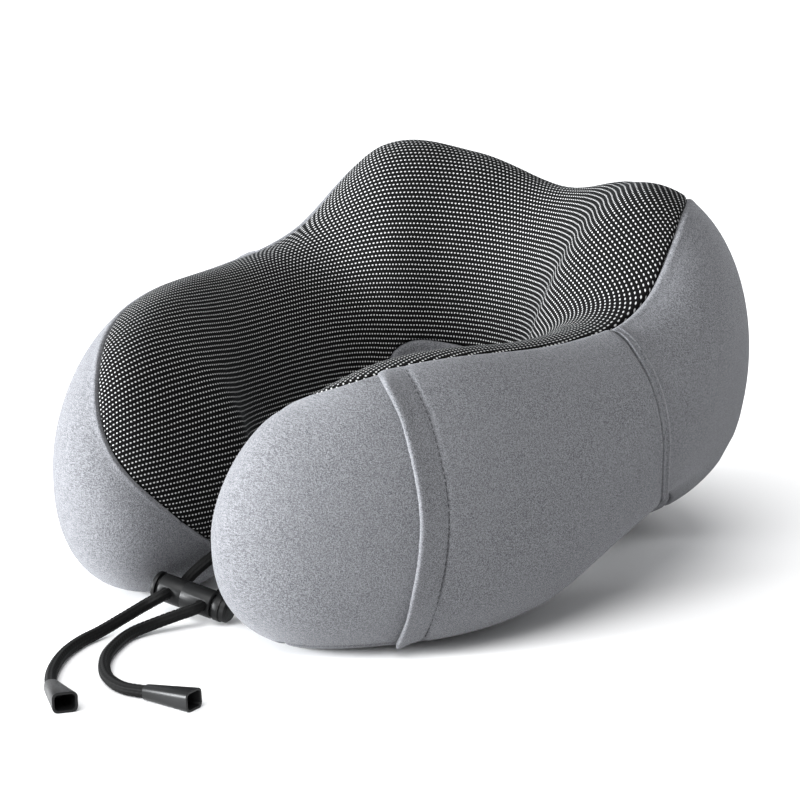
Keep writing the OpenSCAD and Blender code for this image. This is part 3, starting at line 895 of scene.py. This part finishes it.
# Seam lines across the side rows: [row from base seam to knit, place along the ring]
REAR_SEAM = [[0, 0.43], [0.12, 0.447], [0.28, 0.481], [0.48, 0.499], [0.78, 0.5], [1, 0.49]]
POCKET_MOUTH = [[0, 0.773], [0.27, 0.765], [0.5, 0.756], [0.74, 0.767], [1, 0.787]]
SIDE_NAME = {1: "right", -1: "left"}
SIDE_FROM = 0.47         # where the grids of the side meet, before the rear seam's curve is applied
MOUTH_AT = 0.765         # where the pocket's grid ends, before its mouth's curve is applied
FABRIC = 1.9
FAR = 99                 # stands for a distance at which a seam has no effect
DEEPEST = 2.4            # most that seams together draw the fabric's face in
HEM_CREST = 3.2          # from the pocket's mouth to the crest of its folded edge
HEM_SEAM = 11.5          # from the pocket's mouth to the stitches that hold its hem


def rear_seam(r):
    return curve_value(REAR_SEAM, np.clip(r, 0, 1))


def side_line(s):
    return cover_point(s, 0.5)


def knit_panel():
    half = even_values(lambda s: cover_point(s, 1.5), 0, 1, 2.0, False, False)
    s = mirrored(half)
    r = even_values(lambda k: cover_point(0.3, k), 1, 2, 2.0)
    s, r = grid(s, r)
    _, across = grid_distances(s, r)
    depth = folded_edge(across) + folded_edge(across[:, -1:] - across)
    middle = np.abs(s[:, 0]).argmin()
    points = cover_point(s, r)
    normal, row = surface_directions(points, s)
    weave = [relaxed_field(points, way) for way in (row, np.cross(normal, row))]
    weave = np.stack([value - value[middle].mean() for value in weave], axis=-1)
    obj = shell("knit_top", s, r, depth, FABRIC, weave=weave)
    finish_piece(obj, "pillow", "knit", knit, "knit_top_panel")


def side_panel(side):
    """Velour of one arm from the rear seam to the tip, where it also wraps round underneath."""
    back = even_values(side_line, SIDE_FROM, TIP_SEAM, 2.0, True, False)
    tip = even_values(side_line, TIP_SEAM, 1, 1.6, False, False)[1:]
    s = np.concatenate([back, tip])
    below = even_values(lambda k: cover_point(0.95, k), -1, 0, 2.0)[:-1]
    above = even_values(lambda k: cover_point(0.6, k), 0, 1, 2.0)
    r = np.concatenate([below, above])
    s, r = grid(s, r)
    share = np.clip((s - SIDE_FROM) / (TIP_SEAM - SIDE_FROM), 0, 1)
    s = np.where(s < TIP_SEAM, mix(rear_seam(r), TIP_SEAM, share), s)
    along, across = grid_distances(s, r)
    seam_column = len(back) - 1
    base_row = len(below)
    from_knit = np.abs(across - across[:, -1:])
    from_base = np.abs(across - across[:, base_row:base_row + 1])
    from_tip_seam = np.abs(along - along[seam_column:seam_column + 1])
    under = r < 0
    from_base = np.where(s > TIP_SEAM, np.hypot(from_base, from_tip_seam), from_base)
    from_base = np.where(under, FAR, from_base)
    from_tip_seam = np.where(under, from_tip_seam, FAR)
    from_inner = np.where(under, across, FAR)
    depth = (
        folded_edge(from_knit, lip=0.35) + folded_edge(along) + folded_edge(from_base)
        + folded_edge(from_tip_seam) + folded_edge(from_inner, lip=0.35)
    )
    depth = np.minimum(depth, DEEPEST)
    keep = np.ones((s.shape[0] - 1, s.shape[1] - 1), bool)
    keep[:seam_column, :base_row] = False
    obj = shell("side_velour_" + SIDE_NAME[side], side * s, r, depth, FABRIC, keep)
    finish_piece(obj, "pillow", "velour", velour, "side_panel_" + SIDE_NAME[side])


ZIP_SLOT_HALF = 3.4      # half the height of the slot for the zip
ZIP_SLOT_ANGLE = 29.6    # how far the slot reaches either way round the back
ZIP_R = ZIP_AT / SIDE_ROWS


def rear_panel():
    """Velour round the back, with the slot for the zip folded back on all four sides."""
    slot_reach = 14          # height above and below the zip within which its slot draws the fabric in
    slot_s = ZIP_SLOT_ANGLE / ZIP_SPAN * ZIP_SEAM
    slot_r = ZIP_SLOT_HALF / ZIP_ROW / SIDE_ROWS
    middle = even_values(side_line, 0, slot_s, 2.2, False, True)
    outer = even_values(side_line, slot_s, SIDE_FROM, 2.0)[1:]
    s = mirrored(np.concatenate([middle, outer]))
    low = even_values(lambda k: cover_point(0.1, k), 0, ZIP_R - slot_r, 1.8)
    high = even_values(lambda k: cover_point(0.1, k), ZIP_R + slot_r, 1, 2.0)
    r = np.concatenate([low, high])
    s, r = grid(s, r)
    stretch = np.clip((np.abs(s) - slot_s) / (SIDE_FROM - slot_s), 0, 1)
    s = np.where(np.abs(s) > slot_s, np.sign(s) * mix(slot_s, rear_seam(r), stretch), s)
    along, across = grid_distances(s, r)
    depth = folded_edge(along) + folded_edge(along[-1:] - along) + folded_edge(across)
    depth = depth + folded_edge(across[:, -1:] - across, lip=0.35)
    from_zip = np.abs(rows_from_zip(r)) * ZIP_ROW
    over = from_zip - ZIP_SLOT_HALF
    beyond = (np.abs(s) / ZIP_SEAM * ZIP_SPAN - ZIP_SLOT_ANGLE) * math.radians(1) * ZIP_RADIUS
    from_slot = np.hypot(np.maximum(over, 0), np.maximum(beyond, 0))
    from_slot = np.where(from_zip > slot_reach, FAR, from_slot)
    depth = depth + folded_edge(from_slot, sink=0.8, width=1.6, lip=0.3)
    centre = (s[1:, 1:] + s[:-1, :-1]) / 2
    row = (r[1:, 1:] + r[:-1, :-1]) / 2
    keep = ~((np.abs(centre) < slot_s) & (np.abs(row - ZIP_R) < slot_r))
    obj = shell("rear_velour", s, r, depth, FABRIC, keep)
    finish_piece(obj, "pillow", "velour", velour, "rear_panel")


def base_panel():
    half = even_values(lambda k: cover_point(k, 2.5), 0, TIP_SEAM, 3.0, False, True)
    s = mirrored(half)
    r = even_values(lambda k: cover_point(0.3, k), 2, 3, 2.6)
    s, r = grid(s, r)
    along, across = grid_distances(s, r)
    depth = (
        folded_edge(along) + folded_edge(along[-1:] - along)
        + folded_edge(across, lip=0.35) + folded_edge(across[:, -1:] - across)
    )
    obj = shell("base_velour", s, r, np.minimum(depth, DEEPEST), FABRIC)
    finish_piece(obj, "pillow", "velour", velour, "base_panel")


def pocket_panel():
    """Second layer on the right arm, open at its front edge, which is folded back and hemmed."""
    plain_face = -1.5        # negative, because the pocket stands off the panel under it
    mouth_face = -0.6
    end_face = -0.9
    end_fade = 13            # length over which its upper end passes into end_face
    s = even_values(side_line, SIDE_FROM, MOUTH_AT, 1.8)
    r = even_values(lambda k: cover_point(0.6, k), 0, 1, 2.0)
    s, r = grid(s, r)
    share = (s - SIDE_FROM) / (MOUTH_AT - SIDE_FROM)
    mouth = curve_value(POCKET_MOUTH, r)
    s = mix(rear_seam(r), mouth, share)
    along, across = grid_distances(s, r)
    from_mouth = along[-1:] - along
    from_knit = across[:, -1:] - across
    rise = np.sin(np.clip(from_mouth / HEM_CREST, 0, 1) * math.pi / 2)
    fall = np.cos(np.clip((from_mouth - HEM_CREST) / 5, 0, 1) * math.pi / 2) ** 2
    face = np.where(from_mouth < HEM_CREST, mouth_face - 2.7 * rise, plain_face - 1.8 * fall)
    groove = 1.4 * np.exp(-((from_mouth - HEM_SEAM) / 1.1) ** 2)
    face = mix(end_face, face + groove, 0.2 + 0.8 * smooth_step(from_knit / end_fade))
    for distance in (along, across, from_knit):
        face = face + folded_edge(distance, sink=1.7, width=2.8)
    obj = shell("pocket_velour", s, r, face, 1.15)
    finish_piece(obj, "pillow", "velour", velour, "pocket_panel")


knit_panel()
side_panel(1)
side_panel(-1)
rear_panel()
base_panel()
pocket_panel()


def places_per_mm(s, r):
    """How much the place along the ring changes over a millimetre of cover."""
    return 0.01 / np.linalg.norm(cover_point(s + 0.005, r) - cover_point(s - 0.005, r), axis=-1)


BAND_HALF = 2.15         # half the width of the raised band along each rear seam
BAND_STEPS = [0, 0.4, 0.9, 1.3, 1.6, 1.85, 2.0, 2.1, BAND_HALF]
BAND_GAP = 0.2           # from the rear seam to the band's edge
BAND_GROOVE = 1.4        # from the band's middle to the two grooves that its stitching leaves
BAND_END_SINK = {1: 1.3, -1: 2.2}    # how far its upper end dives, on the right side and the left


def seam_band(side):
    """Raised band just behind the rear seam, where both layers are turned over and sewn flat."""
    offset = np.array([-k for k in BAND_STEPS[:0:-1]] + BAND_STEPS)
    r = even_values(lambda k: cover_point(0.46, k), 0.0, 1.0, 1.2, False, False)
    offset, r = grid(offset, r)
    s = rear_seam(r)
    s = s - (BAND_HALF + BAND_GAP - offset) * places_per_mm(s, r)
    _, across = grid_distances(s, r)
    edge = np.clip((BAND_HALF - np.abs(offset)) / 0.75, 0, 1)
    face = -1.3 + 1.7 * (1 - np.sqrt(np.maximum(0, 1 - (1 - edge) ** 2)))
    face = face - 0.75 * np.exp(-((np.abs(offset) - BAND_GROOVE) / 0.5) ** 2)
    face = face - 0.05 * np.sin(across / 1.1 + 3 * np.sin(across / 7))
    to_end = across[:, -1:] - across
    face = face + folded_edge(across, 2.6, 4) + folded_edge(to_end, 2.6, 4)
    face = face + BAND_END_SINK[side] * np.exp(-(to_end / 9) ** 2)
    obj = shell("rear_seam_" + SIDE_NAME[side], side * s, r, face, 1.3)
    finish_piece(obj, "pillow", "velour", velour)


def edge_roll(name, s, r, lift, radius):
    """Thin roll of brushed pile that stands along a folded edge and thins out as its ends dive in."""
    sides = 10
    end_depth = 1.6
    end_size = 0.35
    middle = np.sin(np.pi * (r - r[0]) / (r[-1] - r[0])) ** 0.5
    line = cover_point(s, r, end_depth - (end_depth + lift) * middle)
    run = run_length(line)
    even = np.arange(0, run[-1], 0.8)
    line = at_lengths(even, run, line)
    fuzz = 1 + 0.04 * np.sin(even * 1.7) * np.sin(even * 0.73 + 1)
    fuzz = fuzz * (end_size + (1 - end_size) * np.interp(even, run, middle))
    # The roll's paler velour is a painted highlight along the ridge
    finish_piece(tube(name, line, radius * fuzz[:, None], sides), "pillow", "velour", highlight_painted_velour)


def stitch_row(name, line, normals, pitch, length, thickness, sink=0.1):
    """Row of single stitches along a line on the cover, each a short thread that dives at both ends."""
    run = run_length(line)
    starts = np.arange(pitch * 0.5, run[-1] - length, pitch)
    bits, ring, vertices, faces = 7, 6, [], []
    for start in starts:
        places = start + np.linspace(0, length, bits)
        centre = at_lengths(places, run, line)
        up = unit(at_lengths(places, run, normals))
        arch = np.sin(np.linspace(0, math.pi, bits))[:, None]
        centre = centre + up * (thickness * (arch - 0.75) - sink)
        side = unit(np.cross(np.gradient(centre, axis=0), up))
        around = directions_round(side, up, ring) * thickness / 2
        first = len(vertices) * bits * ring
        vertices.append((centre[:, None] + around).reshape(-1, 3))
        index = first + np.arange(bits * ring).reshape(bits, ring)
        faces += ring_faces(index, clockwise=True)
        faces += [index[0][::-1].tolist(), index[-1].tolist()]
    finish_piece(new_object(name, np.concatenate(vertices), faces), "pillow", "velour", thread)


def cover_line(s, r, depth):
    """A line on the cover and its outward normals."""
    face = cover_point(s, r, depth)
    return face, unit(face - cover_point(s, r, np.asarray(depth) + 1.0))


def hem_stitches():
    r = np.linspace(0.03, 0.97, 200)
    mouth = curve_value(POCKET_MOUTH, r)
    line, normals = cover_line(mouth - HEM_SEAM * places_per_mm(mouth, r), r, -0.75)
    stitch_row("pocket_hem_stitches", line, normals, 3.0, 2.1, 0.42)


def zip_stitches():
    from_slot = 2.4
    half = ZIP_SLOT_ANGLE / ZIP_SPAN * ZIP_SEAM + 0.013
    s = np.linspace(-half, half, 300)
    offset = (ZIP_SLOT_HALF + from_slot) / ZIP_ROW / SIDE_ROWS
    for name, row in (("zip_stitches_upper", ZIP_R + offset), ("zip_stitches_lower", ZIP_R - offset)):
        line, normals = cover_line(s, row, 0.0)
        stitch_row(name, line, normals, 3.2, 2.3, 0.42, 0.05)


def edge_rolls():
    """Rolls on both edges of each rear seam band, and one along the pocket's mouth."""
    r = np.linspace(0.01, 0.99, 160)
    seam = rear_seam(r)
    for side, which in SIDE_NAME.items():
        for edge, from_seam, lift in (("front", 0.7, 0.3), ("rear", -4.0, 1.0)):
            s = side * (seam + from_seam * places_per_mm(seam, r))
            edge_roll("seam_roll_" + edge + "_" + which, s, r, lift, 0.9)
    mouth = curve_value(POCKET_MOUTH, r)
    edge_roll("pocket_mouth_roll", mouth - 1.5 * places_per_mm(mouth, r), r, 1.0, 1.9)


seam_band(1)
seam_band(-1)
edge_rolls()
hem_stitches()
zip_stitches()


def inner_body(name, depth):
    """Closed smooth body below the cover."""
    step = 5
    section_l = 420          # about the length round the thickest section
    half = even_values(lambda k: cover_point(k, 1.5, depth), 0, 1, step, False, False)
    s = mirrored(half)
    r = np.linspace(0, 3, int(section_l / step) + 1)[:-1]
    grid_s, grid_r = grid(s, r)
    points = cover_point(grid_s, grid_r, depth)
    index = np.arange(points.shape[0] * points.shape[1]).reshape(points.shape[:2])
    return tidy_mesh(new_object(name, points.reshape(-1, 3), ring_faces(index)))


foam_block = inner_body("foam_block", 6.0)
finish_piece(foam_block, "pillow", "foam", foam, "foam_core")
liner_bag = inner_body("liner_bag", 4.9)
finish_piece(liner_bag, "pillow", "liner", liner, "inner_liner")

# ------------------------------------------------------------------ cords, lock and zip

CAD_FINISH = {
    "zip_tape_upper": tape_fabric, "zip_tape_lower": tape_fabric,
    "zip_coil_upper": coil_nylon, "zip_coil_lower": coil_nylon,
    "zip_stops": zip_metal, "zip_slider": zip_metal, "zip_pull": zip_metal,
}
for node, material in CAD_FINISH.items():
    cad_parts[node].data.materials.clear()
    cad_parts[node].data.materials.append(material)


def node_copy(name, node):
    """New object with a copy of a CAD node's mesh."""
    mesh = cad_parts[node].data.copy()
    mesh.name = name
    return add_object(name, mesh)


def bevelled_copy(name, node, body, slot, material, width=0.25):
    """The CAD node's own shape with softened edges, which stands for it."""
    obj = tidy_mesh(node_copy(name, node))
    shade_smooth(obj.data)
    bevel = obj.modifiers.new("soft_edges", "BEVEL")
    bevel.width = width * MM
    bevel.segments = 3
    bevel.limit_method = "ANGLE"
    bevel.angle_limit = math.radians(35)
    bevel.harden_normals = True
    return finish_piece(obj, body, slot, material, node)


def closing_spring(name, node, body):
    """Smooth shaded copy of the CAD node's coils, which rest against their seat in the barrel."""
    obj = node_copy(name, node)
    shade_smooth(obj.data)
    finish_piece(obj, body, "spring_wire", spring_steel, node)
    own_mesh(obj)


# Half of the lock: [side, body, place of the spring's seat along the barrel, share that its coils keep]
LOCK_HALVES = [["left", "pillow", -1.42, 0.5], ["right", "lock_right", 4.22, 0.46]]
for half, half_body, spring_seat, coils_keep in LOCK_HALVES:
    closing_spring("coil_" + half, "lock_spring_" + half, half_body)
    bevelled_copy("lock_barrel_" + half, "lock_body_" + half, half_body, "lock_body", lock_plastic)
    bevelled_copy("lock_cap_" + half, "lock_button_" + half, "button_" + half, "lock_button", button_plastic)
    bevelled_copy(
        "cord_sleeve_" + half, "cord_end_" + half, half_body, "cord_end", end_plastic, 0.4)

finish_piece(cord_left, "pillow", "cord", cord_braid, "cord_left")
cord_right.data.materials.append(cord_braid)
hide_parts("cord_right_lead", "cord_right_tail")
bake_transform(cord_right)

# ------------------------------------------------------------------ floor and light

FLOOR_HALF = 9000
floor_corners = [[x * FLOOR_HALF, y * FLOOR_HALF, 0] for x, y in ((-1, -1), (1, -1), (1, 1), (-1, 1))]
floor = new_object("floor", floor_corners, [[0, 1, 2, 3]])
floor_nodes = Nodes("floor_white")
floor_tone = floor_nodes.noise(floor_nodes.place(), 400, 1)
floor.data.materials.append(floor_nodes.finish(
    floor_nodes.blend(floor_tone, grey(0.92), grey(0.95)), 0.9, Specular_IOR_Level=0.1))


def add_light(name, kind, energy, place, heading, **settings):
    data = bpy.data.lights.new(name, kind)
    data.energy = energy
    for key, value in settings.items():
        setattr(data, key, value)
    lamp = add_object(name, data)
    lamp.location = place
    lamp.rotation_euler = heading.to_track_quat("-Z", "Y").to_euler()


KEY_PLACE = Vector((-1.12, -1.93, 0.42))
KEY_AIM = Vector((0, 0, 0.08))
add_light("top_light", "SUN", 2.7, (0, 0, 0), Vector((-0.28, 0.52, -1.0)), angle=math.radians(42))
add_light(
    "key_left", "AREA", 215, KEY_PLACE, KEY_AIM - KEY_PLACE,
    shape="RECTANGLE", size=1.3, size_y=0.8, color=(0.96, 0.98, 1),
)

world = bpy.data.worlds.new("studio")
bpy.context.scene.world = world
world.use_nodes = True
world.node_tree.nodes["Background"].inputs["Color"].default_value = (0.97, 0.98, 1, 1)
world.node_tree.nodes["Background"].inputs["Strength"].default_value = 0.5
bpy.context.scene.view_settings.view_transform = "Standard"
